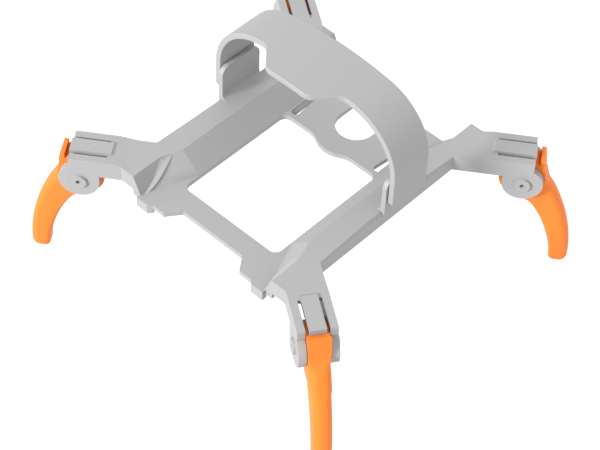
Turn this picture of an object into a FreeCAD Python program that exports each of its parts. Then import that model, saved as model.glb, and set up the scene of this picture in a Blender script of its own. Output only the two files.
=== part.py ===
# Clip-on landing gear for a small folding camera drone.
# A cradle frame with four clevis ends, a hoop that slips over the drone's body,
# and four legs that turn on steel pins. X runs across, Y along the rails, Z up.

import FreeCAD, Part
import os
import re

import Sketcher

doc = FreeCAD.newDocument("landing_gear")
sheet = doc.addObject("Spreadsheet::Sheet", "dims")

# Every size in millimetres and every angle in degrees
SIZES = {
    # heights of the cradle frame above the ground
    "pivot_height": 35.9,
    "arm_rise": 8.1,
    "end_rise": 0.8,
    "cradle_depth": 6.1,
    "skirt_depth": 5.5,
    "deck_height": "pivot_height + arm_rise",
    "arm_top": "deck_height + end_rise",
    "plate_height": "deck_height - cradle_depth",
    "skirt_height": "deck_height - skirt_depth",
    "wall": 1.6,
    # rails, measured from the middle plane
    "rail_foot": 18.7,
    "rail_slope": 6.8,
    "rail_width": 7.5,
    "rail_crest": "rail_foot + rail_slope",
    "rail_outer": "rail_crest + rail_width",
    # corner pockets, where the rails turn into the arms
    "corner_end": 43.3,
    "corner_narrowing": 2.5,
    "corner_slope": 2.9,
    "bend_start": "corner_end - 17.9",
    "crease_start": "corner_end - 15.4",
    "corner_crest_start": "corner_end - 11",
    "crease_foot_start": "corner_end - 5",
    "corner_foot_start": "corner_end - 3.2",
    "hollow_foot_start": "corner_end - 7.3",
    "crease_crest": "rail_crest + 0.9",
    "corner_crest": "rail_crest + corner_narrowing",
    "corner_foot": "corner_crest - corner_slope",
    "crease_foot": "corner_foot - 0.9",
    # arms and clevises
    "arm_angle": 34.9,
    "arm_reach": 14.2,
    "arm_set": 2.65,
    "pivot_across": "rail_outer + arm_reach",
    "pivot_along": "corner_end + arm_set",
    "ear_gap": 7.0,
    "ear_thickness": 2.35,
    "arm_width": "ear_gap + ear_thickness * 2",
    "ramp_start": 16.0,
    "ramp_end": 10.5,
    "channel_length": 19.0,
    "ear_radius": 6.15,
    "ear_front": 2.85,
    "ear_heel": 6.6,
    "ear_underside": "pivot_height + ear_radius / 2",
    "pin_radius": 0.75,
    "boss_wall": 1.65,
    "boss_radius": "pin_radius + boss_wall",
    "boss_height": 0.8,
    # spring tongue between the ears
    "slot_width": 1.05,
    "tongue_width": "ear_gap - slot_width * 2",
    "tongue_thickness": 1.5,
    "tongue_end": 3.1,
    "tongue_slot": 8.0,
    "pad_start": 10.2,
    "pad_slope": 0.8,
    "pad_rise": 0.5,
    # belly plate
    "window_front": "corner_end - 11.4",
    "window_rear": 11.4,
    "window_corner": 2.5,
    "bulge_half": 9.0,
    "bulge_depth": 2.5,
    "front_edge": "window_front + 6.8",
    "front_tab_root": 12.0,
    "front_tab_tip": 15.4,
    "lip_start": "lip_end - 5.6",
    "lip_end": "corner_foot + wall * 0.3",
    "lip_thickness": 1.2,
    "lip_drop": 3.5,
    "rear_edge": "corner_end - 6.8",
    "notch_half": 6.4,
    "notch_floor": "window_rear + 5.1",
    "slit_place": "rail_foot - 3.2",
    "slit_width": 2.8,
    "slit_start": "window_rear + 2.8",
    "slit_length": 12.0,
    "slit_taper": 1.2,
    # hoop
    "hoop_clearance": 0.2,
    "hoop_thickness": 1.9,
    "hoop_step": 0.5,
    "hoop_outer": "rail_outer + hoop_step + hoop_clearance + hoop_thickness",
    "hoop_front": 1.7,
    "hoop_rear": 13.0,
    "hoop_gap": 2.5,
    "hoop_bottom": "deck_height + hoop_gap",
    "shoulder_start": "hoop_bottom + 11.3",
    "shoulder_radius": 19.5,
    "crown_angle": 10.0,
    "hoop_corner": 2.5,
    "guide_clearance": 0.15,
    "brow_root": 15.0,
    "brow_tip": 8.0,
    "brow_reach": "hoop_front + 7.8",
    "brow_rounding": 2.0,
    # uprights that carry the hoop
    "upright_thickness": 1.5,
    "upright_front": "hoop_front + 0.7",
    "upright_rear": "hoop_rear + 0.5",
    "upright_top": "hoop_bottom + 10",
    "upright_rounding": 3.0,
    "upright_foot": 2.2,
    "guide_width": 4.0,
    "guide_depth": 0.7,
    "guide_length": 7.0,
    "guide_bottom": "hoop_bottom + 0.5",
    "guide_top": "guide_bottom + guide_length",
    # legs
    "hub_clearance": 0.2,
    "hub_radius": "arm_rise + end_rise - tongue_thickness - hub_clearance",
    "side_clearance": 0.2,
    "stop_clearance": 0.1,
    "heel_gap": 0.8,
    "heel_inner": "tongue_end + heel_gap",
    "heel_thickness": 1.9,
    "heel_drop": 0.2,
    "shin_step": 0.45,
    "shin_width": "ear_gap - side_clearance * 2 - shin_step * 2",
    "shin_chamfer": 1.5,
    "knee_out": 9.2,
    "knee_height": "pivot_height + 1.1",
    "calf_out": "knee_out + 5.36",
    "calf_height": "pivot_height - 14.9",
    "foot_in": "calf_out - 2.66",
    "foot_rounding": 1.6,
    "hub_step": 2.0,
    # hinge pins
    "pin_seat_clearance": 0.01,
    "pin_running_clearance": 0.05,
}

CORNERS = {
    "front_left": (-1, -1),
    "front_right": (1, -1),
    "rear_left": (-1, 1),
    "rear_right": (1, 1),
}


def fill_sheet():
    for row, (name, size) in enumerate(SIZES.items(), start=1):
        sheet.set("A%d" % row, name)
        sheet.set("B%d" % row, "=" + size if isinstance(size, str) else str(size))
        sheet.setAlias("B%d" % row, name)
    doc.recompute()


def size(name):
    return float(sheet.get(name))


def bind(formula):
    """Point each size that a formula names at its cell on the sheet."""
    return re.sub("[a-z_]+", lambda word: ("dims." if word[0] in SIZES else "") + word[0], formula)


def point_table(sketch, formulas):
    """A table with a row of formulas for each point of a sketch, and the present places."""
    table = doc.addObject("Spreadsheet::Sheet", sketch.Name + "Points")
    for row, (x_formula, y_formula) in enumerate(formulas, start=1):
        table.set("A%d" % row, "=" + bind(x_formula))
        table.set("B%d" % row, "=" + bind(y_formula))
    table.recompute()
    cells = [("A%d" % row, "B%d" % row) for row in range(1, len(formulas) + 1)]
    return table, cells, [FreeCAD.Vector(float(table.get(x)), float(table.get(y)), 0) for x, y in cells]


def tie_point(sketch, geometry, end, table, cell_pair):
    """Hold one point of a sketch at the place that two cells of its table give."""
    for kind, cell in zip(("DistanceX", "DistanceY"), cell_pair):
        index = sketch.addConstraint(Sketcher.Constraint(kind, -1, 1, geometry, end, float(table.get(cell))))
        sketch.setExpression("Constraints[%d]" % index, "%s.%s" % (table.Name, cell))


def draw_outline(sketch, path):
    """Close an outline through corner points; a point marked "via" is the middle of an arc."""
    table, cells, places = point_table(sketch, [step[:2] for step in path])
    corners = [i for i, step in enumerate(path) if len(step) == 2]
    first = last = None
    for here, there in zip(corners, corners[1:] + corners[:1]):
        middle = here + 1 if here + 1 < len(path) and len(path[here + 1]) == 3 else None
        if middle is None:
            edge = sketch.addGeometry(Part.LineSegment(places[here], places[there]))
        else:
            edge = sketch.addGeometry(Part.Arc(places[here], places[middle], places[there]))
        start, end = arc_ends(sketch, edge, places[here])
        tie_point(sketch, edge, start, table, cells[here])
        if middle is not None:
            helper = sketch.addGeometry(Part.Point(places[middle]), True)
            tie_point(sketch, helper, 1, table, cells[middle])
            sketch.addConstraint(Sketcher.Constraint("PointOnObject", helper, 1, edge))
        if last is None:
            first = (edge, start)
        else:
            sketch.addConstraint(Sketcher.Constraint("Coincident", last[0], last[1], edge, start))
        last = (edge, end)
    sketch.addConstraint(Sketcher.Constraint("Coincident", last[0], last[1], first[0], first[1]))


def arc_ends(sketch, edge, start_place):
    """Which end number of an edge is its start; an arc may be stored the other way round."""
    stored = sketch.getPoint(edge, 1)
    if (stored - start_place).Length < 1e-6:
        return 1, 2
    return 2, 1


def draw_circle(sketch, centre, radius):
    table, cells, places = point_table(sketch, [centre, (radius, "0")])
    circle = sketch.addGeometry(Part.Circle(places[0], FreeCAD.Vector(0, 0, 1), places[1].x))
    tie_point(sketch, circle, 3, table, cells[0])
    index = sketch.addConstraint(Sketcher.Constraint("Radius", circle, places[1].x))
    sketch.setExpression("Constraints[%d]" % index, bind(radius))


def new_body(name):
    return doc.addObject("PartDesign::Body", name)


def sketch_on(body, role, name, shift=None, turn=None):
    """A sketch on one of a body's own planes, moved and turned by sizes from the sheet."""
    sketch = body.newObject("Sketcher::SketchObject", name)
    plane = [feature for feature in body.Origin.OriginFeatures if feature.Role == role][0]
    sketch.AttachmentSupport = [(plane, "")]
    sketch.MapMode = "FlatFace"
    if turn:
        sketch.AttachmentOffset = FreeCAD.Placement(FreeCAD.Vector(), FreeCAD.Rotation(turn[0], 1))
        sketch.setExpression("AttachmentOffset.Rotation.Angle", bind(turn[1]))
    for axis, formula in (shift or {}).items():
        sketch.setExpression("AttachmentOffset.Base." + axis, bind(formula))
    return sketch


def pad(body, sketch, name, length, symmetric=False, reverse=False):
    feature = body.newObject("PartDesign::Pad", name)
    feature.Profile = sketch
    feature.SideType = "Symmetric" if symmetric else "One side"
    feature.Reversed = reverse
    feature.setExpression("Length", bind(length))
    doc.recompute()
    return feature


def pocket(body, sketch, name, length, symmetric=False, reverse=False):
    """Cut a sketch into a body, and see that the cut takes something away."""
    before = body.Shape.Volume
    feature = body.newObject("PartDesign::Pocket", name)
    feature.Profile = sketch
    feature.SideType = "Symmetric" if symmetric else "One side"
    feature.Reversed = reverse
    feature.setExpression("Length", bind(length))
    doc.recompute()
    if body.Shape.Volume > before - 1e-4:
        raise RuntimeError(name + " cuts nothing")
    return feature


def round_edges(body, name, chosen, radius):
    """Round the edges of a body's last feature that a test picks."""
    dress_edges(body, "PartDesign::Fillet", name, chosen, "Radius", radius)


def break_edges(body, name, chosen, width):
    """Chamfer the edges of a body's last feature that a test picks."""
    dress_edges(body, "PartDesign::Chamfer", name, chosen, "Size", width)


def dress_edges(body, kind, name, chosen, measure, formula):
    base = body.Tip
    names = ["Edge%d" % (i + 1) for i, edge in enumerate(base.Shape.Edges) if chosen(edge)]
    if not names:
        raise RuntimeError(name + " finds no edge")
    feature = body.newObject(kind, name)
    feature.Base = (base, names)
    feature.setExpression(measure, bind(formula))
    doc.recompute()
    if "Invalid" in feature.State:
        raise RuntimeError(name + " can't be made")


def middle_of(edge):
    return edge.valueAt((edge.FirstParameter + edge.LastParameter) / 2)


def near(a, b, slack=0.01):
    return abs(a - b) < slack


ARM_SHIFT = {"x": "pivot_across", "z": "pivot_along"}
ARM_TURN = (FreeCAD.Vector(0, -1, 0), "arm_angle")


def arm_plane(body, name):
    """The upright plane down the middle of the front right arm, zero at the pivot."""
    return sketch_on(body, "XZ_Plane", name, ARM_SHIFT, ARM_TURN)


def rail_section(height, inset):
    """Outline of the right rail and corner at a height, set in by a wall's run."""
    slope = "((deck_height - (%s)) / (deck_height - plate_height))" % height
    crest = "rail_crest - (rail_crest - rail_foot) * %s + (%s) * 1.5" % (slope, inset)
    crease = "crease_crest - (crease_crest - crease_foot) * %s" % slope
    crease_start = "0 - crease_start - (crease_foot_start - crease_start) * %s" % slope
    corner = "corner_crest - (corner_crest - corner_foot) * %s + (%s) * 1.1" % (slope, inset)
    foot_start = "corner_foot_start" if inset == "0" else "hollow_foot_start"
    corner_start = "0 - corner_crest_start - (%s - corner_crest_start) * %s" % (foot_start, slope)
    front = "0 - corner_end + %s" % inset
    outer = "rail_outer - %s" % inset
    bend = [(crest, "0 - bend_start")] + ([(crease, crease_start)] if inset == "0" else [])
    return [(crest, inset)] + bend + [
        (corner, corner_start), (corner, front), (outer, front), (outer, inset)]


def rail_loft(body, name, low, high, inset, kind):
    """A straight-sided loft between two rail sections."""
    sketches = []
    for word, height in (("Low", low), ("High", high)):
        sketch = sketch_on(body, "XY_Plane", name + word, {"z": height})
        draw_outline(sketch, rail_section(height, inset))
        sketches.append(sketch)
    doc.recompute()
    loft = body.newObject(kind, name)
    loft.Profile = sketches[0]
    loft.Sections = [sketches[1]]
    loft.Ruled = True
    doc.recompute()
    return loft


def arm_point(along, across):
    """Plan formulas for a point of the front right arm, from its pivot."""
    x = "pivot_across + (%s) * cos(arm_angle) + (%s) * sin(arm_angle)" % (along, across)
    y = "0 - pivot_along - (%s) * sin(arm_angle) + (%s) * cos(arm_angle)" % (along, across)
    return x, y


def make_quarter():
    """The front right quarter: half a rail, its corner, the arm and the clevis."""
    body = new_body("Quarter")
    rail_loft(body, "RailBlock", "plate_height - wall", "deck_height", "0", "PartDesign::AdditiveLoft")
    trim_skirt(body)
    add_arm(body)
    add_clevis(body)
    rail_loft(body, "RailHollow", "plate_height - wall * 2", "deck_height - wall", "wall",
              "PartDesign::SubtractiveLoft")
    cut_channel(body)
    add_tongue(body)
    bore_ears(body)
    return body


def trim_skirt(body):
    """The rail's outer wall stops above the plate."""
    sketch = sketch_on(body, "XZ_Plane", "SkirtTrim", {"z": "0 - wall"})
    draw_outline(sketch, [
        ("rail_outer - wall * 3", "plate_height - wall * 2"),
        ("rail_outer + wall", "plate_height - wall * 2"),
        ("rail_outer + wall", "skirt_height"), ("rail_outer - wall * 3", "skirt_height")])
    pocket(body, sketch, "SkirtCut", "corner_end + wall * 2", reverse=True)


def add_arm(body):
    half = "arm_width / 2"
    low_reach = "(corner_end - pivot_along - %s * cos(arm_angle)) / sin(arm_angle)" % half
    high_reach = "(rail_outer - pivot_across - %s * sin(arm_angle)) / cos(arm_angle)" % half
    tip = "0 - ear_radius / 2"
    root_high = arm_point(high_reach, half)[1]
    sketch = sketch_on(body, "XY_Plane", "ArmPlan", {"z": "skirt_height"})
    draw_outline(sketch, [
        arm_point(low_reach, "0 - " + half), arm_point(tip, "0 - " + half), arm_point(tip, half),
        ("rail_outer", root_high), ("rail_outer - wall", root_high),
        ("rail_outer - wall", "0 - corner_end")])
    pad(body, sketch, "Arm", "deck_height - skirt_height")


def add_clevis(body):
    """Ears round the pivot, with a raised boss on each side."""
    sketch = arm_plane(body, "EarSide")
    front_height = "pivot_height + sqrt(ear_radius ^ 2 - ear_front ^ 2)"
    draw_outline(sketch, [
        ("0 - ramp_start", "skirt_height"), ("0 - ramp_start", "deck_height"),
        ("0 - ramp_end", "arm_top"), ("ear_front", "arm_top"), ("ear_front", front_height),
        ("0", "pivot_height - ear_radius", "via"), ("0 - ear_radius", "pivot_height"),
        ("0 - ear_radius", "ear_underside"), ("0 - ear_heel", "ear_underside")])
    pad(body, sketch, "Ears", "arm_width", symmetric=True)
    sketch = arm_plane(body, "BossCircle")
    draw_circle(sketch, ("0", "pivot_height"), "boss_radius")
    pad(body, sketch, "Bosses", "arm_width + boss_height * 2", symmetric=True)


def cut_channel(body):
    """The arm is open underneath; the leg's hub turns between the ears."""
    sketch = arm_plane(body, "ChannelSide")
    floor = "pivot_height - ear_radius * 2"
    draw_outline(sketch, [
        ("0 - channel_length", floor), ("0 - channel_length", "deck_height - wall"),
        ("0 - ramp_start", "deck_height - wall"), ("0 - ramp_end", "arm_top - tongue_thickness"),
        ("ear_radius * 2", "arm_top - tongue_thickness"), ("ear_radius * 2", floor)])
    pocket(body, sketch, "Channel", "ear_gap", symmetric=True)


def add_tongue(body):
    """A springy tongue between two slots, with a raised pad that the heel of the leg meets."""
    side_gap = "(ear_gap - tongue_width) / 2"
    for word, side in (("Low", "0 - "), ("High", "")):
        middle = side + "(ear_gap + tongue_width) / 4"
        inner = side + "tongue_width / 2"
        outer = side + "ear_gap / 2"
        sketch = sketch_on(body, "XY_Plane", "Slot" + word, {"z": "deck_height - wall * 2"})
        draw_outline(sketch, [
            arm_point("0 - tongue_slot", inner), arm_point("0 - tongue_slot - (%s) / 2" % side_gap, middle)
            + ("via",), arm_point("0 - tongue_slot", outer), arm_point("ear_radius", outer),
            arm_point("ear_radius", inner)])
        pocket(body, sketch, "SlotCut" + word, "wall * 5", reverse=True)
    sketch = arm_plane(body, "PadSide")
    draw_outline(sketch, [
        ("0 - pad_start", "arm_top"), ("pad_slope - pad_start", "arm_top + pad_rise"),
        ("tongue_end", "arm_top + pad_rise"), ("tongue_end", "arm_top - tongue_thickness"),
        ("0 - ramp_end + pad_slope", "arm_top - tongue_thickness")])
    pad(body, sketch, "TonguePad", "tongue_width", symmetric=True)


def bore_ears(body):
    sketch = arm_plane(body, "PinBore")
    draw_circle(sketch, ("0", "pivot_height"), "pin_radius + pin_seat_clearance")
    pocket(body, sketch, "PinBores", "arm_width * 2", symmetric=True)


def mirrored(source, name, normal):
    copy = doc.addObject("Part::Mirroring", name)
    copy.Source = source
    copy.Normal = normal
    copy.Base = FreeCAD.Vector(0, 0, 0)
    return copy


def joined(name, pieces):
    fuse = doc.addObject("Part::MultiFuse", name)
    fuse.Shapes = pieces
    fuse.Refine = True
    doc.recompute()
    return fuse


def both_sides(points):
    """Carry the right half of a symmetric outline over to the left."""
    left = [("0 - (%s)" % step[0],) + tuple(step[1:]) for step in reversed(points)]
    return points + left


def make_plate():
    """The belly plate between the rails, before its window is cut."""
    body = new_body("Plate")
    seat = "wall * 0.3"
    rear_run = "(rear_edge - bend_start) / (crease_foot_start - bend_start)"
    rear_foot = "rail_foot + (crease_foot - rail_foot) * %s + %s" % (rear_run, seat)
    sketch = sketch_on(body, "XY_Plane", "PlatePlan", {"z": "plate_height - wall"})
    draw_outline(sketch, both_sides([
        ("front_tab_root", "0 - front_edge"), ("front_tab_tip", "0 - corner_end"),
        ("corner_foot + " + seat, "0 - corner_end"), ("corner_foot + " + seat, "0 - corner_foot_start"),
        ("crease_foot + " + seat, "0 - crease_foot_start"), ("rail_foot + " + seat, "0 - bend_start"),
        ("rail_foot + " + seat, "bend_start"), (rear_foot, "rear_edge")]))
    pad(body, sketch, "PlatePad", "wall")
    add_lips(body)
    cut_notch(body)
    for word, side in (("Left", "0 - "), ("Right", "")):
        near_side = side + "slit_place"
        far_side = side + "(slit_place + slit_width)"
        middle = side + "(slit_place + slit_width / 2)"
        sketch = sketch_on(body, "XY_Plane", "Slit" + word, {"z": "plate_height - wall * 2"})
        draw_outline(sketch, [
            (near_side, "slit_start"), (middle, "slit_start - slit_width / 2", "via"),
            (far_side, "slit_start"), (far_side, "slit_start + slit_length"),
            (side + "(slit_place + slit_taper)", "slit_start + slit_length")])
        pocket(body, sketch, "SlitCut" + word, "wall * 3", reverse=True)
    return body


def add_lips(body):
    """A lip turned down in front of each front pocket."""
    for word, side in (("Left", "0 - "), ("Right", "")):
        sketch = sketch_on(body, "XY_Plane", "Lip" + word, {"z": "plate_height - lip_drop"})
        draw_outline(sketch, [
            (side + "lip_start", "0 - corner_end"),
            (side + "(lip_start + lip_thickness)", "0 - corner_end - lip_thickness"),
            (side + "lip_end", "0 - corner_end - lip_thickness"),
            (side + "lip_end", "lip_thickness / 2 - corner_end"),
            (side + "lip_start", "lip_thickness / 2 - corner_end")])
        pad(body, sketch, "LipPad" + word, "lip_drop")


def cut_notch(body):
    """A round-ended notch in the rear edge of the plate."""
    sketch = sketch_on(body, "XY_Plane", "NotchPlan", {"z": "plate_height - wall * 2"})
    draw_outline(sketch, [
        ("notch_half", "rear_edge + wall"), ("notch_half", "notch_floor + notch_half"),
        ("0", "notch_floor", "via"), ("0 - notch_half", "notch_floor + notch_half"),
        ("0 - notch_half", "rear_edge + wall")])
    pocket(body, sketch, "Notch", "wall * 3", reverse=True)


def make_window():
    """The space that the window leaves, from below the plate up to its top face."""
    body = new_body("Window")
    sketch = sketch_on(body, "XY_Plane", "WindowPlan", {"z": "plate_height - wall * 2"})
    bend = "((bulge_half ^ 2 + bulge_depth ^ 2) / bulge_depth / 4)"
    turn = "(asin(bulge_half / 2 / %s) / 2)" % bend
    right = [
        ("rail_foot", "0 - window_front"), ("rail_foot", "window_rear"), ("bulge_half", "window_rear"),
        ("bulge_half - %s * sin(%s)" % (bend, turn),
         "window_rear - %s * (1 - cos(%s))" % (bend, turn), "via"),
        ("bulge_half / 2", "window_rear - bulge_depth / 2")]
    path = both_sides(right)
    path.insert(len(right), ("0", "window_rear - bulge_depth", "via"))
    draw_outline(sketch, path)
    pad(body, sketch, "WindowPad", "wall * 2")
    foot = size("rail_foot")
    round_edges(body, "WindowCorners",
                lambda edge: len(edge.Vertexes) == 2 and near(edge.Vertexes[0].X, edge.Vertexes[1].X)
                and near(edge.Vertexes[0].Y, edge.Vertexes[1].Y) and near(abs(middle_of(edge).x), foot),
                "window_corner")
    return body


def make_upright(name, side):
    """A side plate that the hoop's leg slips over, with a guide rib outside."""
    body = new_body(name)
    outer = "hoop_outer - hoop_thickness - hoop_clearance"
    sketch = sketch_on(body, "YZ_Plane", name + "Side", {"z": outer + " - upright_thickness"})
    draw_outline(sketch, [
        ("0 - upright_front", "deck_height - wall"), ("upright_rear", "deck_height - wall"),
        ("upright_rear", "upright_top - upright_rounding"),
        ("upright_rear - upright_rounding * (1 - cos(45))",
         "upright_top - upright_rounding * (1 - cos(45))", "via"),
        ("upright_rear - upright_rounding", "upright_top"),
        ("upright_rounding - upright_front", "upright_top"),
        ("upright_rounding * (1 - cos(45)) - upright_front",
         "upright_top - upright_rounding * (1 - cos(45))", "via"),
        ("0 - upright_front", "upright_top - upright_rounding")])
    pad(body, sketch, name + "Plate", "upright_thickness")
    sketch = sketch_on(body, "YZ_Plane", name + "GuideSide", {"z": outer + " - upright_thickness / 2"})
    middle = "(hoop_rear - hoop_front) / 2"
    draw_outline(sketch, [
        (middle + " - guide_width / 2", "guide_bottom"), (middle + " + guide_width / 2", "guide_bottom"),
        (middle + " + guide_width / 2", "guide_top"), (middle + " - guide_width / 2", "guide_top")])
    pad(body, sketch, name + "Guide", "upright_thickness / 2 + guide_depth")
    sketch = sketch_on(body, "XZ_Plane", name + "FootSide", {"z": "0 - upright_rear"})
    inner = "(%s - upright_thickness)" % outer
    middle = "upright_foot * (1 - cos(45))"
    draw_outline(sketch, [
        (inner + " + upright_thickness / 2", "deck_height - wall"),
        (inner + " - upright_foot", "deck_height - wall"),
        (inner + " - upright_foot", "deck_height"),
        (inner + " - " + middle, "deck_height + " + middle, "via"),
        (inner, "deck_height + upright_foot"),
        (inner + " + upright_thickness / 2", "deck_height + upright_foot")])
    pad(body, sketch, name + "Foot", "upright_front + upright_rear")
    if side < 0:
        return mirrored(body, name + "Mirror", FreeCAD.Vector(1, 0, 0))
    return body


def make_frame():
    quarter = make_quarter()
    half = joined("RightSide", [quarter, mirrored(quarter, "RearQuarter", FreeCAD.Vector(0, 1, 0))])
    solid = joined("FrameBlank", [
        half, mirrored(half, "LeftSide", FreeCAD.Vector(1, 0, 0)), make_plate(),
        make_upright("RightUpright", 1), make_upright("LeftUpright", -1)])
    frame = doc.addObject("Part::Cut", "Frame")
    frame.Base = solid
    frame.Tool = make_window()
    frame.Refine = True
    frame.Label = "base_frame"
    return frame


def arch_outline(inset):
    """Outline of the hoop's arch in the front view, set in from its outer face."""
    half = "(hoop_outer - %s)" % inset
    shoulder = "(shoulder_radius - %s)" % inset
    centre = "(hoop_outer - shoulder_radius)"
    joint_x = "%s + %s * sin(crown_angle)" % (centre, shoulder)
    joint_z = "shoulder_start + %s * cos(crown_angle)" % shoulder
    crown = "((%s) / sin(crown_angle))" % joint_x
    apex = "%s + %s * (1 - cos(crown_angle))" % (joint_z, crown)
    turn = "(45 + crown_angle / 2)"
    right = [
        (half, "hoop_bottom"), (half, "shoulder_start"),
        ("%s + %s * sin(%s)" % (centre, shoulder, turn), "shoulder_start + %s * cos(%s)" % (shoulder, turn),
         "via"), (joint_x, joint_z)]
    path = both_sides(right)
    path.insert(len(right), ("0", apex, "via"))
    return path


def make_hoop():
    body = new_body("Hoop")
    sketch = sketch_on(body, "XZ_Plane", "ArchOuter", {"z": "0 - hoop_rear"})
    draw_outline(sketch, arch_outline("0"))
    pad(body, sketch, "ArchBlock", "hoop_rear + brow_reach")
    sketch = sketch_on(body, "XZ_Plane", "ArchInner", {"z": "0 - hoop_rear"})
    draw_outline(sketch, arch_outline("hoop_thickness"))
    pocket(body, sketch, "ArchInside", "hoop_rear + brow_reach", reverse=True)
    shape_brow(body)
    cut_guide_grooves(body)
    bottom = size("hoop_bottom")
    round_edges(body, "HoopCorners",
                lambda edge: edge.Length < size("hoop_thickness") + 0.01 and near(edge.Vertexes[0].Z, bottom)
                and near(edge.Vertexes[1].Z, bottom) and near(edge.Vertexes[0].Y, edge.Vertexes[1].Y)
                and (near(middle_of(edge).y, size("hoop_rear")) or near(middle_of(edge).y, -size("hoop_front"))),
                "hoop_corner")
    body.Label = "top_hoop"
    return body


def shape_brow(body):
    """Cut the front of the arch back to its leading edge, but for a brow at the crown."""
    beyond = "0 - brow_reach - hoop_thickness"
    side_length = "sqrt((brow_root - brow_tip) ^ 2 + (brow_reach - hoop_front) ^ 2)"
    step_x = "brow_rounding * (brow_root - brow_tip) / %s" % side_length
    step_y = "brow_rounding * (brow_reach - hoop_front) / %s" % side_length
    for word, side in (("Left", "0 - "), ("Right", "")):
        sketch = sketch_on(body, "XY_Plane", "Brow" + word, {"z": "hoop_bottom - hoop_thickness"})
        draw_outline(sketch, [
            (side + "(hoop_outer + hoop_thickness)", "0 - hoop_front"),
            (side + "(brow_root + brow_rounding)", "0 - hoop_front"),
            (side + "(brow_root + (brow_rounding - %s) / 4)" % step_x,
             "0 - hoop_front - %s / 4" % step_y, "via"),
            (side + "(brow_root - %s)" % step_x, "0 - hoop_front - %s" % step_y),
            (side + "(brow_tip + %s)" % step_x, "%s - brow_reach" % step_y),
            (side + "(brow_tip - (brow_rounding - %s) / 4)" % step_x, "%s / 4 - brow_reach" % step_y, "via"),
            (side + "(brow_tip - brow_rounding)", "0 - brow_reach"),
            (side + "(brow_tip - brow_rounding)", beyond),
            (side + "(hoop_outer + hoop_thickness)", beyond)])
        pocket(body, sketch, "BrowCut" + word, "hoop_outer + shoulder_radius", reverse=True)


def cut_guide_grooves(body):
    """Grooves inside the hoop's legs that run on the uprights' ribs."""
    middle = "(hoop_rear - hoop_front) / 2"
    half = "(guide_width / 2 + guide_clearance)"
    depth = "guide_depth + guide_clearance - hoop_clearance"
    inner = "hoop_outer - hoop_thickness"
    for word, side in (("Left", "0 - "), ("Right", "")):
        sketch = sketch_on(body, "XY_Plane", "Groove" + word, {"z": "hoop_bottom - wall"})
        draw_outline(sketch, [
            (side + "(%s - wall)" % inner, "%s - %s" % (middle, half)),
            (side + "(%s + %s)" % (inner, depth), "%s - %s" % (middle, half)),
            (side + "(%s + %s)" % (inner, depth), "%s + %s" % (middle, half)),
            (side + "(%s - wall)" % inner, "%s + %s" % (middle, half))])
        pocket(body, sketch, "GrooveCut" + word,
               "guide_top + stop_clearance - hoop_bottom + wall", reverse=True)


def place_at_corner(body, across, along):
    """Turn a piece to its arm and set it at the pivot, by the sheet's sizes."""
    turned = {(1, -1): "360 - arm_angle", (1, 1): "arm_angle",
              (-1, 1): "180 - arm_angle", (-1, -1): "180 + arm_angle"}
    body.Placement = FreeCAD.Placement(FreeCAD.Vector(), FreeCAD.Rotation(FreeCAD.Vector(0, 0, 1), 1))
    body.setExpression("Placement.Rotation.Angle", bind(turned[across, along]))
    body.setExpression("Placement.Base.x", bind("pivot_across * %d" % across))
    body.setExpression("Placement.Base.y", bind("pivot_along * %d" % along))


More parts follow.
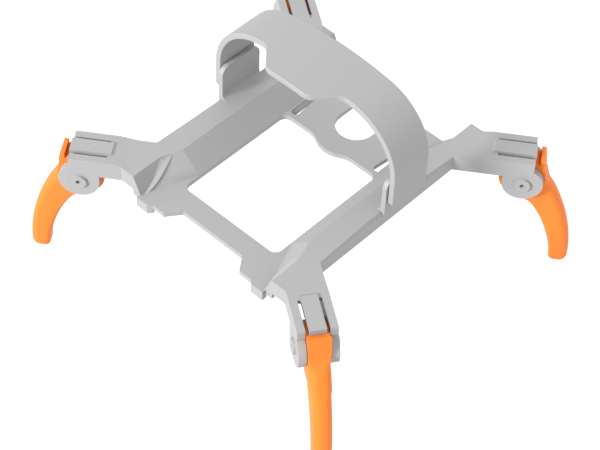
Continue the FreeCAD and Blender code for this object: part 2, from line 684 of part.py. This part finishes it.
def make_leg(corner, across, along):
    """One leg: a shin with broken edges below a flat hub with a heel that stops on the tongue."""
    name = "".join(word.capitalize() for word in corner.split("_")) + "Leg"
    body = new_body(name)
    lean = "atan((calf_out - knee_out) / (knee_height - calf_height))"
    foot_out = "(calf_out + (calf_height - foot_rounding) * tan(%s / 2))" % lean
    calf_radius = "((calf_height - foot_rounding) / sin(%s))" % lean
    hub_bottom = "(pivot_height - hub_radius)"
    shin_radius = "(((%s - foot_rounding) ^ 2 + foot_in ^ 2) / foot_in / 2)" % hub_bottom
    shin_turn = "asin((%s - foot_rounding) / %s)" % (hub_bottom, shin_radius)
    corner_inset = "foot_rounding * (1 - cos(45))"
    sketch = sketch_on(body, "XZ_Plane", name + "ShinSide")
    draw_outline(sketch, [
        ("0 - hub_radius / 3", "pivot_height"), ("knee_out / 2", "pivot_height"),
        ("knee_out", "knee_height"), ("calf_out", "calf_height"),
        ("%s - %s * (1 - cos(%s / 2))" % (foot_out, calf_radius, lean),
         "foot_rounding + %s * sin(%s / 2)" % (calf_radius, lean), "via"), (foot_out, "foot_rounding"),
        ("%s - %s" % (foot_out, corner_inset), corner_inset, "via"),
        (foot_out + " - foot_rounding", "0"),
        ("foot_in + foot_rounding", "0"), ("foot_in + " + corner_inset, corner_inset, "via"),
        ("foot_in", "foot_rounding"),
        ("foot_in - %s * (1 - cos(%s / 2))" % (shin_radius, shin_turn),
         "foot_rounding + %s * sin(%s / 2)" % (shin_radius, shin_turn), "via"), ("0", hub_bottom)])
    pad(body, sketch, name + "Shin", "shin_width", symmetric=True)
    half = size("shin_width") / 2
    break_edges(body, name + "Chamfer",
                lambda edge: all(near(abs(v.Y), half) for v in edge.Vertexes)
                and near(edge.Vertexes[0].Y, edge.Vertexes[-1].Y)
                and middle_of(edge).z < size("pivot_height") - size("hub_radius") + 1, "shin_chamfer")
    sketch = sketch_on(body, "XZ_Plane", name + "HubSide")
    knee_bottom = "(%s + hub_step)" % hub_bottom
    knee_line = "(knee_out + (knee_height - %s) * tan(%s))" % (knee_bottom, lean)
    seat = "pivot_height + sqrt(hub_radius ^ 2 - heel_inner ^ 2)"
    draw_outline(sketch, [
        ("heel_inner", seat), ("heel_inner", "deck_height - heel_drop"),
        ("heel_inner + heel_thickness", "deck_height - heel_drop"),
        ("heel_inner + heel_thickness * 1.2", "pivot_height + ear_radius"), ("knee_out", "knee_height"),
        (knee_line, knee_bottom), (knee_line + " - shin_chamfer", "%s - shin_chamfer * 2" % knee_bottom),
        ("0", hub_bottom), ("0 - hub_radius", "pivot_height", "via")])
    pad(body, sketch, name + "Hub", "ear_gap - side_clearance * 2", symmetric=True)
    for word, side in (("Low", "0 - "), ("High", "")):
        sketch = sketch_on(body, "YZ_Plane", name + "Taper" + word)
        draw_outline(sketch, [
            (side + "(ear_gap / 2 - side_clearance)", "pivot_height - hub_radius / 2"),
            (side + "shin_width / 2", "%s - shin_chamfer * 2" % knee_bottom),
            (side + "shin_width / 2", "%s - shin_chamfer * 3" % knee_bottom),
            (side + "ear_gap", "%s - shin_chamfer * 3" % knee_bottom),
            (side + "ear_gap", "pivot_height - hub_radius / 2")])
        pocket(body, sketch, name + "TaperCut" + word, "knee_out * 4", symmetric=True)
    sketch = sketch_on(body, "XZ_Plane", name + "BoreSide")
    draw_circle(sketch, ("0", "pivot_height"), "pin_radius + pin_running_clearance")
    pocket(body, sketch, name + "Bore", "ear_gap * 2", symmetric=True)
    place_at_corner(body, across, along)
    body.Label = "leg_" + corner
    return body


def make_pin(corner, across, along):
    """A steel pin, flush with the ears and sunk inside the bosses."""
    name = "".join(word.capitalize() for word in corner.split("_")) + "Pin"
    body = new_body(name)
    sketch = sketch_on(body, "XZ_Plane", name + "Round")
    draw_circle(sketch, ("0", "pivot_height"), "pin_radius")
    pad(body, sketch, name + "Rod", "arm_width", symmetric=True)
    place_at_corner(body, across, along)
    body.Label = "hinge_pin_" + corner
    return body


def check_model():
    """Stop if anything in the document failed to build."""
    doc.recompute()
    for thing in doc.Objects:
        if any(word in thing.State for word in ("Invalid", "Error")):
            raise RuntimeError("%s failed: %s" % (thing.Name, thing.State))


def write_parts(pieces):
    for piece in pieces:
        if piece.Shape.isNull() or not piece.Shape.isValid():
            raise RuntimeError(piece.Label + " has no valid shape")
    os.makedirs("parts", exist_ok=True)
    for piece in pieces:
        piece.Shape.exportStep("parts/%s.step" % piece.Label)
        print(piece.Label, len(piece.Shape.Solids), "solid", round(piece.Shape.Volume, 1))


fill_sheet()
pieces = [make_frame(), make_hoop()]
for corner_name, (across_side, along_side) in CORNERS.items():
    pieces.append(make_leg(corner_name, across_side, along_side))
    pieces.append(make_pin(corner_name, across_side, along_side))
check_model()
write_parts(pieces)
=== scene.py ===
import bpy
from math import cos, pi, radians, sin
from mathutils import Matrix, Vector


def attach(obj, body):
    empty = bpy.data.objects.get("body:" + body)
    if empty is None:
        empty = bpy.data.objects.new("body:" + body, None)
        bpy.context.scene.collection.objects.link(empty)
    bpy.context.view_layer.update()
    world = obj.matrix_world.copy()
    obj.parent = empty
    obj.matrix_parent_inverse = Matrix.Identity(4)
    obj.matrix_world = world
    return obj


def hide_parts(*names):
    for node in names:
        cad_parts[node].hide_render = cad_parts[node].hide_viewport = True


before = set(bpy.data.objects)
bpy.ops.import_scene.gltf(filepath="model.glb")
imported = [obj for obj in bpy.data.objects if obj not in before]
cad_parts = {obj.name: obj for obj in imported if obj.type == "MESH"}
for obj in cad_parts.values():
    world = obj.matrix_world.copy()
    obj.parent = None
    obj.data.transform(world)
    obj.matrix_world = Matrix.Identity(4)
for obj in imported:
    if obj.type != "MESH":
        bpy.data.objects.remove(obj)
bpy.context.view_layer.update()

corners = ["front_left", "front_right", "rear_left", "rear_right"]
mm = 0.001

# viewpoint of the photograph, in the part's frame
viewpoint = {
    "place": (255.168, -291.325, 448.057),
    "right": (0.72753373, 0.68537018, 0.03102233),
    "up": (-0.52876832, 0.53133882, 0.66187848),
    "lens": 113.469,
    "sensor": 36.0,
}

studio = {
    "floorSize": 3.0,
    "floorGlow": 1.15,  # the page behind the product is plain white, without a shadow
    "skyColour": (1.0, 1.0, 1.0),
    "skyStrength": 1.18,
    "keyPlace": (-0.512, -2.254, 1.19),
    "keyAim": (0, 0, 0.04),
    "keySize": 0.75,
    "keyPower": 86.0,
}

# moulded nylon of the cradle and the hoop
greyMoulding = {
    "name": "greyMoulding",
    "colour": (0.288, 0.288, 0.29),
    "mottle": 0.03,
    "grain": 2600.0,
    "gloss": 0.48,
    "depth": 0.12,
    "shine": 0.5,
}

# softer, brighter plastic of the legs
orangeMoulding = {
    "name": "orangeMoulding",
    "colour": (0.73, 0.17, 0.016),
    "mottle": 0.025,
    "grain": 1900.0,
    "gloss": 0.42,
    "depth": 0.08,
    "shine": 0.28,
}

steel = {
    "name": "pinSteel",
    "colour": (0.34, 0.34, 0.35),
    "turning": 5200.0,
}

# how every moulding is rounded and shaded; angles in degrees
edgeFinish = {
    "merge": 0.001,
    "flatAngle": 0.6,
    "bevelAngle": 30,
    "crispSegments": 2,
    "softSegments": 4,
    "smoothAngle": 35,
    "shinAngle": 40,
    "faceWeight": 90,
}

# crisp rounding on all edges, and a softer one along the rails' outer top edges
cradleSkin = {
    "node": "base_frame",
    "body": "cradle",
    "slot": "grey_moulding",
    "crisp": 0.2,
    "soft": 1.0,
    "deck": 44.0,
    "railSide": 33.0,
    "reach": 0.01,
}

hoopSkin = {
    "node": "top_hoop",
    "body": "hoop",
    "slot": "grey_moulding",
    "crisp": 0.25,
    "soft": 0,
}

# hub and heel come from the CAD leg; the shin below the knee is a smooth swell
legSkin = {
    "node": "leg_",
    "body": "leg_body_",
    "slot": "orange_moulding",
    "crisp": 0.25,
    "pivot": (47.2, 45.95),
    "armAngle": 34.9,
    "hub": {
        "cut": 29.2,
        "back": 4.0,
        "sink": 0.15,
        "ring": 0.1,
        "shoulder": 40,
    },
    "heel": {
        "base": 38.4,
        "wall": 1.0,
        "skin": 0.05,
        "round": 0.7,
        "slope": 0.6,
    },
    # distance of the shin's two edges from the pivot, at even steps up from the ground
    "outer": [17.66, 17.66, 17.1, 16.15, 14.8, 12.95, 10.6, 7.6, 6.1],
    "inner": [11.9, 11.5, 10.3, 8.6, 6.3, 2.9, -3.2, -3.4, -1.0],
    "step": 5.0,
    "top": 38.2,
    "hubHalf": 3.28,
    "shinHalf": 2.85,
    "footRound": 1.6,
    "footSteps": 6,
    "hubRound": 0.3,
    "shinRound": 2.55,
    "innerRound": 1.5,
    "archTop": 36.3,
    "archEnd": 33.6,
    "seam": 26.2,
    "seamStep": 0.3,
    "levels": 46,
    "around": 40,
    "cornerShare": 0.9,
}

# raised ramp that sweeps from the deck down into each front pocket, left side
pocketRamp = {
    "outer": [(-28.1, -32.3, 43.9), (-26.9, -35.2, 41.4), (-26.1, -38.3, 39.3),
              (-25.9, -41.0, 38.2), (-25.8, -43.0, 37.7)],
    "inner": [(-26.5, -28.0, 43.9), (-25.6, -31.3, 41.9), (-24.7, -35.2, 39.7),
              (-24.3, -38.9, 38.4), (-24.6, -42.0, 37.8)],
    "rise": 0.8,
    "fade": 1.15,
    "crown": 0.7,
    "depth": 1.0,
    "crisp": 0.15,
    "steps": 28,
    "rows": 4,
}


def addCamera(view):
    bpy.ops.object.camera_add(location=Vector(view["place"]) * mm)
    camera = bpy.context.object
    camera.name = "photoCamera"
    right, up = Vector(view["right"]), Vector(view["up"])
    camera.rotation_euler = Matrix((right, up, right.cross(up))).transposed().to_euler()
    camera.data.sensor_width = view["sensor"]
    camera.data.lens = view["lens"]
    camera.data.clip_start = 0.01
    bpy.context.scene.camera = camera


def addKeyLight(setup):
    bpy.ops.object.light_add(type="AREA", location=setup["keyPlace"])
    box = bpy.context.object
    box.name = "keyLight"
    box.data.shape = "DISK"
    box.data.size = setup["keySize"]
    box.data.energy = setup["keyPower"]
    aim = Vector(setup["keyAim"]) - Vector(setup["keyPlace"])
    box.rotation_euler = aim.to_track_quat("-Z", "Y").to_euler()


def addStudio(setup):
    world = bpy.data.worlds.new("paleRoom")
    bpy.context.scene.world = world
    world.use_nodes = True
    sky = world.node_tree.nodes["Background"]
    sky.inputs["Color"].default_value = (*setup["skyColour"], 1)
    sky.inputs["Strength"].default_value = setup["skyStrength"]
    bpy.ops.mesh.primitive_plane_add(size=setup["floorSize"], location=(0, 0, 0))
    floor = bpy.context.object
    floor.name = "studioFloor"
    paper, _, shader = newMaterial("floorPaper")
    shader.inputs["Base Color"].default_value = (0, 0, 0, 1)
    shader.inputs["Specular IOR Level"].default_value = 0.0
    shader.inputs["Emission Color"].default_value = (*setup["skyColour"], 1)
    shader.inputs["Emission Strength"].default_value = setup["floorGlow"]
    floor.data.materials.append(paper)
    addKeyLight(setup)
    bpy.context.scene.view_settings.view_transform = "Standard"


def groupNode(tree, kind, place, settings=None, **values):
    node = tree.nodes.new(kind)
    node.location = place
    for name, value in (settings or {}).items():
        setattr(node, name, value)
    for name, value in values.items():
        node.inputs[name.replace("_", " ")].default_value = value
    return node


def makeSkinGroup():
    group = bpy.data.node_groups.new("mouldedSkin", "ShaderNodeTree")
    group.interface.new_socket(name="Colour", in_out="INPUT", socket_type="NodeSocketColor")
    for name in ("Mottle", "Grain Size", "Gloss", "Depth"):
        group.interface.new_socket(name=name, in_out="INPUT", socket_type="NodeSocketFloat")
    group.interface.new_socket(name="Colour", in_out="OUTPUT", socket_type="NodeSocketColor")
    group.interface.new_socket(name="Roughness", in_out="OUTPUT", socket_type="NodeSocketFloat")
    group.interface.new_socket(name="Normal", in_out="OUTPUT", socket_type="NodeSocketVector")
    link = group.links.new
    start = groupNode(group, "NodeGroupInput", (-900, 0))
    end = groupNode(group, "NodeGroupOutput", (600, 0))
    place = groupNode(group, "ShaderNodeTexCoord", (-900, -300))

    # slow drift of tone from the melt's flow
    drift = groupNode(group, "ShaderNodeTexNoise", (-650, 200),
                      Scale=42.0, Detail=3.0, Roughness=0.6)
    link(place.outputs["Object"], drift.inputs["Vector"])
    centred = groupNode(group, "ShaderNodeMath", (-450, 200), {"operation": "SUBTRACT"})
    centred.inputs[1].default_value = 0.5
    link(drift.outputs["Fac"], centred.inputs[0])
    tone = groupNode(group, "ShaderNodeMath", (-250, 200), {"operation": "MULTIPLY_ADD"})
    tone.inputs[2].default_value = 1.0
    link(centred.outputs["Value"], tone.inputs[0])
    link(start.outputs["Mottle"], tone.inputs[1])
    tint = groupNode(group, "ShaderNodeVectorMath", (0, 200), {"operation": "SCALE"})
    link(start.outputs["Colour"], tint.inputs[0])
    link(tone.outputs["Value"], tint.inputs["Scale"])
    link(tint.outputs["Vector"], end.inputs["Colour"])

    # spark-eroded grain of the mould
    grain = groupNode(group, "ShaderNodeTexNoise", (-650, -200), Detail=2.0, Roughness=0.5)
    link(place.outputs["Object"], grain.inputs["Vector"])
    link(start.outputs["Grain Size"], grain.inputs["Scale"])
    sheen = groupNode(group, "ShaderNodeMath", (-250, -50), {"operation": "MULTIPLY_ADD"})
    sheen.inputs[1].default_value = 0.12
    link(grain.outputs["Fac"], sheen.inputs[0])
    link(start.outputs["Gloss"], sheen.inputs[2])
    link(sheen.outputs["Value"], end.inputs["Roughness"])
    bump = groupNode(group, "ShaderNodeBump", (-250, -300), Distance=0.00006)
    link(start.outputs["Depth"], bump.inputs["Strength"])
    link(grain.outputs["Fac"], bump.inputs["Height"])
    link(bump.outputs["Normal"], end.inputs["Normal"])
    return group


def newMaterial(name):
    material = bpy.data.materials.new(name)
    material.use_nodes = True
    return material, material.node_tree, material.node_tree.nodes["Principled BSDF"]


def makeMoulding(look, group):
    material, tree, shader = newMaterial(look["name"])
    skin = tree.nodes.new("ShaderNodeGroup")
    skin.node_tree = group
    skin.location = (-300, 200)
    skin.inputs["Colour"].default_value = (*look["colour"], 1)
    skin.inputs["Mottle"].default_value = look["mottle"]
    skin.inputs["Grain Size"].default_value = look["grain"]
    skin.inputs["Gloss"].default_value = look["gloss"]
    skin.inputs["Depth"].default_value = look["depth"]
    tree.links.new(skin.outputs["Colour"], shader.inputs["Base Color"])
    tree.links.new(skin.outputs["Roughness"], shader.inputs["Roughness"])
    tree.links.new(skin.outputs["Normal"], shader.inputs["Normal"])
    shader.inputs["IOR"].default_value = 1.5
    shader.inputs["Specular IOR Level"].default_value = look["shine"]
    return material


def makeSteel(look):
    material, tree, shader = newMaterial(look["name"])
    place = groupNode(tree, "ShaderNodeTexCoord", (-800, 0))
    rings = groupNode(tree, "ShaderNodeTexNoise", (-600, 0), Scale=look["turning"], Detail=1.0)
    tree.links.new(place.outputs["Object"], rings.inputs["Vector"])
    sheen = groupNode(tree, "ShaderNodeMapRange", (-350, 0), To_Min=0.28, To_Max=0.45)
    tree.links.new(rings.outputs["Fac"], sheen.inputs["Value"])
    tree.links.new(sheen.outputs["Result"], shader.inputs["Roughness"])
    shader.inputs["Base Color"].default_value = (*look["colour"], 1)
    shader.inputs["Metallic"].default_value = 1.0
    return material


def onlySelect(piece):
    bpy.ops.object.select_all(action="DESELECT")
    piece.select_set(True)
    bpy.context.view_layer.objects.active = piece


def editAll():
    bpy.ops.object.mode_set(mode="EDIT")
    bpy.ops.mesh.select_all(action="SELECT")


def copyOfNode(node, name):
    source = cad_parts[node]
    piece = source.copy()
    piece.data = source.data.copy()
    piece.name = piece.data.name = name
    for key in list(piece.keys()):
        del piece[key]
    bpy.context.collection.objects.link(piece)
    piece.parent = None
    piece.data.transform(source.matrix_world)
    piece.matrix_world = Matrix.Identity(4)
    piece.data.materials.clear()
    return piece


def cleanCopy(node, name):
    piece = copyOfNode(node, name)
    onlySelect(piece)
    editAll()
    bpy.ops.mesh.remove_doubles(threshold=edgeFinish["merge"] * mm)
    bpy.ops.mesh.dissolve_limited(angle_limit=radians(edgeFinish["flatAngle"]))
    bpy.ops.object.mode_set(mode="OBJECT")
    return piece


def markEdges(piece, places, isSoft):
    weights = piece.data.attributes.new("bevel_weight_edge", "FLOAT", "EDGE")
    for edge in piece.data.edges:
        if isSoft([places[i] for i in edge.vertices]):
            weights.data[edge.index].value = 1.0


def markRailEdges(piece, plan):
    def onDeckEdge(place):
        level = abs(place.z - plan["deck"]) < plan["reach"]
        return level and abs(abs(place.x) - plan["railSide"]) < plan["reach"]

    places = [vertex.co / mm for vertex in piece.data.vertices]
    markEdges(piece, places, lambda ends: all(onDeckEdge(place) for place in ends))


def roundEdges(piece, name, width, method):
    bevel = piece.modifiers.new(name, "BEVEL")
    bevel.width = width * mm
    bevel.segments = edgeFinish["softSegments" if method == "WEIGHT" else "crispSegments"]
    bevel.limit_method = method
    bevel.angle_limit = radians(edgeFinish["bevelAngle"])
    bevel.use_clamp_overlap = True
    bpy.ops.object.modifier_apply(modifier=bevel.name)


def smoothShading(piece):
    bpy.ops.object.shade_smooth_by_angle(angle=radians(edgeFinish["smoothAngle"]))
    normals = piece.modifiers.new("flatFaces", "WEIGHTED_NORMAL")
    normals.keep_sharp = True
    normals.weight = edgeFinish["faceWeight"]
    bpy.ops.object.modifier_apply(modifier=normals.name)


def dress(piece, node, body, material):
    piece.data.materials.clear()
    piece.data.materials.append(material)
    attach(piece, body)
    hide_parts(node)


def addGreySkin(plan, material):
    piece = cleanCopy(plan["node"], plan["node"] + "_skin")
    if plan["soft"]:
        markRailEdges(piece, plan)
        roundEdges(piece, "softEdges", plan["soft"], "WEIGHT")
    roundEdges(piece, "crispEdges", plan["crisp"], "ANGLE")
    smoothShading(piece)
    dress(piece, plan["node"], plan["body"], material)


def alongPoints(points, t):
    # a smooth curve through evenly spaced points
    span = t * (len(points) - 1)
    i = min(int(span), len(points) - 2)
    p = [Vector(points[max(0, min(len(points) - 1, k))]) for k in (i - 1, i, i + 1, i + 2)]
    s = span - i
    return 0.5 * (2 * p[1] + (p[2] - p[0]) * s + (2 * p[0] - 5 * p[1] + 4 * p[2] - p[3]) * s ** 2
                  + (3 * p[1] - p[0] - 3 * p[2] + p[3]) * s ** 3)


def shinEdge(plan, edge, height):
    points = [(value, 0, 0) for value in plan[edge]]
    return alongPoints(points, min(1, height / plan["step"] / (len(points) - 1))).x


def armFrame(plan, corner):
    # the arm's pivot, its outward direction and the direction across it
    side = -1 if "left" in corner else 1
    end = -1 if "front" in corner else 1
    angle = radians(plan["armAngle"])
    outward = Vector((side * cos(angle), end * sin(angle), 0))
    pivot = Vector((side * plan["pivot"][0], end * plan["pivot"][1], 0))
    return pivot, outward, Vector((-outward.y, outward.x, 0))


def shinLevels(plan):
    # height and inset of each level, from the middle of the sole to the top of the knee
    foot = plan["footRound"]
    levels = [(0, foot)] * 2
    for i in range(1, plan["footSteps"] + 1):
        angle = radians(90 / plan["footSteps"] * i)
        levels.append((foot * (1 - cos(angle)), foot * (1 - sin(angle))))
    rest = plan["levels"] - len(levels)
    levels += [(foot + (plan["top"] - foot) * (i + 1) / rest, 0) for i in range(rest)]
    return levels + [(plan["top"], 0)]


def shareBelow(top, bottom, height):
    return min(1, max(0, (top - height) / (top - bottom)))


def shinPoint(plan, height, inset, turn):
    # turn runs from 0 to 4, one quarter for each rounded corner of the level
    swell = shareBelow(plan["archTop"], plan["archEnd"], height)
    swell = swell * swell * (3 - 2 * swell)
    slim = shareBelow(plan["archTop"], plan["seam"], height)
    half = plan["hubHalf"] + (plan["shinHalf"] + plan["seamStep"] - plan["hubHalf"]) * slim - inset
    if height < plan["seam"]:
        half -= plan["seamStep"]
    outer = shinEdge(plan, "outer", height) - inset
    inner = shinEdge(plan, "inner", height) + inset
    corner = int(turn) % 4
    target = plan["shinRound"] if corner in (0, 3) else plan["innerRound"]
    radius = plan["hubRound"] + (target - plan["hubRound"]) * swell - inset
    radius = max(plan["hubRound"], radius)
    angle = radians(90) * (corner + min(1, (turn - int(turn)) / plan["cornerShare"]))
    middle = ((outer - radius, half - radius), (inner + radius, half - radius),
              (inner + radius, radius - half), (outer - radius, radius - half))[corner]
    return middle[0] + radius * cos(angle), middle[1] + radius * sin(angle)


def addShin(plan, corner):
    bpy.ops.object.select_all(action="DESELECT")
    bpy.ops.mesh.primitive_grid_add(
        x_subdivisions=plan["levels"], y_subdivisions=plan["around"], size=1)
    shin = bpy.context.object
    levels = shinLevels(plan)
    pivot, outward, across = armFrame(plan, corner)
    for vertex in shin.data.vertices:
        level = round((vertex.co.x + 0.5) * plan["levels"])
        turn = round((vertex.co.y + 0.5) * plan["around"]) / (plan["around"] / 4)
        height, inset = levels[level]
        a, b = shinPoint(plan, height, inset, turn)
        if level in (0, plan["levels"]):
            a, b = (shinEdge(plan, "outer", height) + shinEdge(plan, "inner", height)) / 2, 0
        vertex.co = (pivot + outward * a + across * b + Vector((0, 0, height))) * mm
    editAll()
    bpy.ops.mesh.remove_doubles(threshold=edgeFinish["merge"] * mm)
    bpy.ops.mesh.normals_make_consistent(inside=False)
    bpy.ops.object.mode_set(mode="OBJECT")
    bpy.ops.object.shade_smooth_by_angle(angle=radians(edgeFinish["shinAngle"]))
    return shin


def trimHub(piece, plan, pivot, outward):
    # below the knee the hub draws back, so that the shin shows there
    editAll()
    bpy.ops.mesh.bisect(plane_co=(0, 0, plan["hub"]["cut"] * mm), plane_no=(0, 0, 1),
                        use_fill=True, clear_inner=True)
    bpy.ops.mesh.select_all(action="SELECT")
    bpy.ops.mesh.bisect(plane_co=(0, 0, plan["archTop"] * mm), plane_no=(0, 0, 1))
    bpy.ops.object.mode_set(mode="OBJECT")
    for vertex in piece.data.vertices:
        place = vertex.co / mm - pivot
        reach = shinEdge(plan, "outer", place.z) - plan["hub"]["sink"]
        if place.z < plan["archTop"] - plan["hub"]["ring"]:
            reach = plan["hub"]["back"]
        if place.z < plan["hub"]["shoulder"] and place.dot(outward) > reach:
            vertex.co -= outward * (place.dot(outward) - reach) * mm


def shapeHeel(piece, heel, pivot, outward):
    places = [vertex.co / mm - pivot for vertex in piece.data.vertices]
    face = max(place.dot(outward) for place in places if place.z > heel["base"])
    for vertex, place in zip(piece.data.vertices, places):
        if place.z > heel["base"] and place.dot(outward) < face - heel["wall"]:
            vertex.co += outward * heel["slope"] * mm

    def onOuterFace(ends):
        near = all(place.dot(outward) > face - heel["skin"] for place in ends)
        return near and max(place.z for place in ends) > heel["base"]

    markEdges(piece, places, onOuterFace)
    roundEdges(piece, "heelEdges", heel["round"], "WEIGHT")


def addLeg(plan, corner, material):
    leg = cleanCopy(plan["node"] + corner, "leg_skin_" + corner)
    pivot, outward, _ = armFrame(plan, corner)
    trimHub(leg, plan, pivot, outward)
    shapeHeel(leg, plan["heel"], pivot, outward)
    roundEdges(leg, "crispEdges", plan["crisp"], "ANGLE")
    smoothShading(leg)
    shin = addShin(plan, corner)
    onlySelect(leg)
    shin.select_set(True)
    bpy.ops.object.join()
    dress(leg, plan["node"] + corner, plan["body"] + corner, material)


def addPocketRamp(plan, side, name, material):
    bpy.ops.object.select_all(action="DESELECT")
    bpy.ops.mesh.primitive_grid_add(
        x_subdivisions=plan["steps"], y_subdivisions=plan["rows"], size=1)
    ramp = bpy.context.object
    ramp.name = ramp.data.name = name
    for vertex in ramp.data.vertices:
        t, across = vertex.co.x + 0.5, vertex.co.y + 0.5
        place = alongPoints(plan["outer"], t).lerp(alongPoints(plan["inner"], t), across)
        place.z += plan["rise"] * sin(pi * min(1, t * plan["fade"])) * across ** plan["crown"]
        vertex.co = Vector((place.x * side, place.y, place.z)) * mm
    editAll()
    bpy.ops.mesh.normals_make_consistent(inside=False)
    bpy.ops.object.mode_set(mode="OBJECT")
    if sum(polygon.normal.z for polygon in ramp.data.polygons) < 0:
        ramp.data.flip_normals()
    body = ramp.modifiers.new("depth", "SOLIDIFY")
    body.thickness = plan["depth"] * mm
    body.offset = -1
    bpy.ops.object.modifier_apply(modifier=body.name)
    roundEdges(ramp, "crispEdges", plan["crisp"], "ANGLE")
    smoothShading(ramp)
    ramp.data.materials.append(material)
    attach(ramp, "cradle")


def finishPins(material):
    for corner in corners:
        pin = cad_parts["hinge_pin_" + corner]
        pin.data.materials.clear()
        pin.data.materials.append(material)


addCamera(viewpoint)
addStudio(studio)
print("studio and camera set")

skinGroup = makeSkinGroup()
greyPlastic = makeMoulding(greyMoulding, skinGroup)
orangePlastic = makeMoulding(orangeMoulding, skinGroup)
addGreySkin(cradleSkin, greyPlastic)
addGreySkin(hoopSkin, greyPlastic)
for corner in corners:
    addLeg(legSkin, corner, orangePlastic)
finishPins(makeSteel(steel))
print("mouldings and pins finished")

addPocketRamp(pocketRamp, 1, "pocket_ramp_left", greyPlastic)
addPocketRamp(pocketRamp, -1, "pocket_ramp_right", greyPlastic)
print("pocket ramps added")
